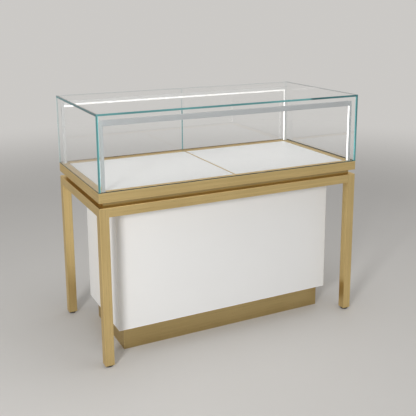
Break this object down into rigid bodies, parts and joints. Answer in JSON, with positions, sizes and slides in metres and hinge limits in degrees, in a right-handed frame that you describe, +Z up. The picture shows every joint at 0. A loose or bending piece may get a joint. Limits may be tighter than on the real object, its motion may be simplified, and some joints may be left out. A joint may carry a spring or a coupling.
{
  "type": "counter display case",
  "caption": "Glass-topped counter display case on a gold tube leg frame, with pull-out lit decks and a white rear-door cabinet on a recessed plinth.",
  "frame": {"origin": "centre of the footprint, on the floor", "axes": "+X along the counter to the customer's right, +Y from the customer's side to the staff side, +Z up"},
  "size_m": [1.2, 0.59, 1.022],
  "materials": {
    "gold_frame": "brushed champagne-gold stainless steel",
    "shadow_frame": "brushed dark-gold steel",
    "gold_plinth": "board faced with brushed gold sheet",
    "white_lacquer": "satin white lacquer on board",
    "white_deck": "matt white lacquer on board",
    "clear_glass": "clear, polished green-tinted edges",
    "seal": "dark soft seal",
    "white_light_metal": "satin white coat",
    "diffuser": "opal",
    "led_tape": "flexible light tape",
    "grey_plastic": "light grey moulded case",
    "black_plastic": "black moulded plastic",
    "zinc_steel": "zinc-plated steel",
    "polished_steel": "bright nickel plate"
  },
  "bodies": {
    "stand": {"cabinet_bottom": "white_lacquer", "cabinet_fascia": "white_lacquer", "cabinet_front": "white_lacquer", "cabinet_side_left": "white_lacquer", "cabinet_side_right": "white_lacquer", "cabinet_top": "white_lacquer", "cable_gland": "black_plastic", "case_floor": "white_deck", "case_rail_front": "gold_frame", "case_rails_side": "gold_frame", "centre_beam": "zinc_steel", "cross_bars": "shadow_frame", "deck_centre_strip": "gold_frame", "frame_bolts": "zinc_steel", "glass_base_seals": "seal", "glass_front": "clear_glass", "glass_left": "clear_glass", "glass_right": "clear_glass", "glass_top": "clear_glass", "hinge_fixed_leaves": "polished_steel", "led_driver": "grey_plastic", "led_strips": "led_tape", "leg_front_left": "gold_frame", "leg_front_right": "gold_frame", "leg_rails_long": "gold_frame", "leg_rails_short": "gold_frame", "leg_rear_left": "gold_frame", "leg_rear_right": "gold_frame", "light_bars": "white_light_metal", "light_diffusers": "diffuser", "light_posts": "white_light_metal", "plinth_boards": "gold_plinth", "runner_outer_members": "zinc_steel", "shelf": "white_lacquer", "shelf_pins": "zinc_steel", "spacer_bars": "shadow_frame", "switch_housing": "black_plastic"},
    "drawer_left": {"deck_left": "white_deck", "drawer_front_left": "gold_frame", "rear_glass_left": "clear_glass", "runner_inner_left": "zinc_steel"},
    "runner_left": {"runner_middle_left": "zinc_steel"},
    "drawer_lock_left": {"drawer_lock_left": "polished_steel"},
    "door_left": {"cabinet_door_left": "white_lacquer", "hinge_moving_leaves_left": "polished_steel"},
    "knob_left": {"door_knob_left": "polished_steel"},
    "foot_front_left": {"foot_front_left": "black_plastic"},
    "foot_rear_left": {"foot_rear_left": "black_plastic"},
    "drawer_right": {"deck_right": "white_deck", "drawer_front_right": "gold_frame", "rear_glass_right": "clear_glass", "runner_inner_right": "zinc_steel"},
    "runner_right": {"runner_middle_right": "zinc_steel"},
    "drawer_lock_right": {"drawer_lock_right": "polished_steel"},
    "door_right": {"cabinet_door_right": "white_lacquer", "hinge_moving_leaves_right": "polished_steel"},
    "knob_right": {"door_knob_right": "polished_steel"},
    "foot_front_right": {"foot_front_right": "black_plastic"},
    "foot_rear_right": {"foot_rear_right": "black_plastic"},
    "rocker": {"switch_rocker": "black_plastic"}
  },
  "joints": [
    {"name": "drawer_left_slide", "type": "slide", "parent": "stand", "child": "drawer_left", "axis": [0, 1, 0], "range_m": [0, 0.4]},
    {"name": "runner_left_slide", "type": "slide", "parent": "stand", "child": "runner_left", "axis": [0, 1, 0], "range_m": [0, 0.2]},
    {"name": "drawer_lock_left_turn", "type": "hinge", "parent": "drawer_left", "child": "drawer_lock_left", "pos_m": [-0.28, 0.275, 0.7005], "axis": [0, 1, 0], "range_deg": [0, 90]},
    {"name": "door_left_hinge", "type": "hinge", "parent": "stand", "child": "door_left", "pos_m": [-0.4905, 0.208, 0.36], "axis": [0, 0, 1], "range_deg": [0, 110]},
    {"name": "knob_left_turn", "type": "hinge", "parent": "door_left", "child": "knob_left", "pos_m": [-0.045, 0.2, 0.578], "axis": [0, 1, 0], "range_deg": [0, 90]},
    {"name": "foot_front_left_screw", "type": "slide", "parent": "stand", "child": "foot_front_left", "axis": [0, 0, -1], "range_m": [0, 0.012]},
    {"name": "foot_rear_left_screw", "type": "slide", "parent": "stand", "child": "foot_rear_left", "axis": [0, 0, -1], "range_m": [0, 0.012]},
    {"name": "drawer_right_slide", "type": "slide", "parent": "stand", "child": "drawer_right", "axis": [0, 1, 0], "range_m": [0, 0.4]},
    {"name": "runner_right_slide", "type": "slide", "parent": "stand", "child": "runner_right", "axis": [0, 1, 0], "range_m": [0, 0.2]},
    {"name": "drawer_lock_right_turn", "type": "hinge", "parent": "drawer_right", "child": "drawer_lock_right", "pos_m": [0.28, 0.275, 0.7005], "axis": [0, 1, 0], "range_deg": [0, 90]},
    {"name": "door_right_hinge", "type": "hinge", "parent": "stand", "child": "door_right", "pos_m": [0.4905, 0.208, 0.36], "axis": [0, 0, -1], "range_deg": [0, 110]},
    {"name": "knob_right_turn", "type": "hinge", "parent": "door_right", "child": "knob_right", "pos_m": [0.045, 0.2, 0.578], "axis": [0, -1, 0], "range_deg": [0, 90]},
    {"name": "foot_front_right_screw", "type": "slide", "parent": "stand", "child": "foot_front_right", "axis": [0, 0, -1], "range_m": [0, 0.012]},
    {"name": "foot_rear_right_screw", "type": "slide", "parent": "stand", "child": "foot_rear_right", "axis": [0, 0, -1], "range_m": [0, 0.012]},
    {"name": "light_rocker", "type": "hinge", "parent": "stand", "child": "rocker", "pos_m": [-0.4, 0.204, 0.622], "axis": [-1, 0, 0], "range_deg": [0, 16]}
  ],
  "couplings": [
    {"joint": "runner_left_slide", "follows": "drawer_left_slide", "ratio": 0.5},
    {"joint": "runner_right_slide", "follows": "drawer_right_slide", "ratio": 0.5}
  ]
}
